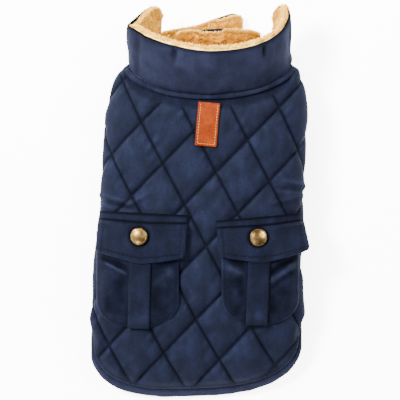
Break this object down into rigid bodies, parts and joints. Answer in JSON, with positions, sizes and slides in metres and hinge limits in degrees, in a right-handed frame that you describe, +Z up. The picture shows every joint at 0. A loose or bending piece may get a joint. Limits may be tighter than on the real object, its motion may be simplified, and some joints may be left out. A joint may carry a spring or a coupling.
{
  "type": "dog coat",
  "caption": "Quilted velour winter coat for a small dog, with a fleece-lined stand-up collar, flap pockets with press studs and a bound hem, laid flat on its belly side.",
  "frame": {"origin": "centre of the coat's box in X and Y, on the surface it lies on", "axes": "+Y towards the neck, along the dog's back; +Z up, out of the back; +X towards the dog's right side, so that X, Y and Z are right-handed"},
  "size_m": [0.193, 0.343, 0.081],
  "materials": {
    "velour": "navy short-pile velour, quilted on the back, with a soft blue sheen",
    "fleece": "golden tan pile fleece",
    "leather": "orange-brown smooth leather",
    "brass": "polished brass"
  },
  "bodies": {
    "root": {"back_panel": "velour", "hem_binding": "velour", "neckband": "velour", "collar_shell": "velour", "collar_lining": "fleece", "chest_flap_left": "velour", "chest_flap_left_lining": "fleece", "chest_flap_right": "velour", "chest_flap_right_lining": "fleece", "belly_band_left": "velour", "belly_band_right": "velour", "label": "leather", "pocket_left_bag": "velour", "pocket_left_strap": "velour", "pocket_left_flap": "velour", "pocket_left_snap": "brass", "pocket_right_bag": "velour", "pocket_right_strap": "velour", "pocket_right_flap": "velour", "pocket_right_snap": "brass"}
  },
  "joints": []
}
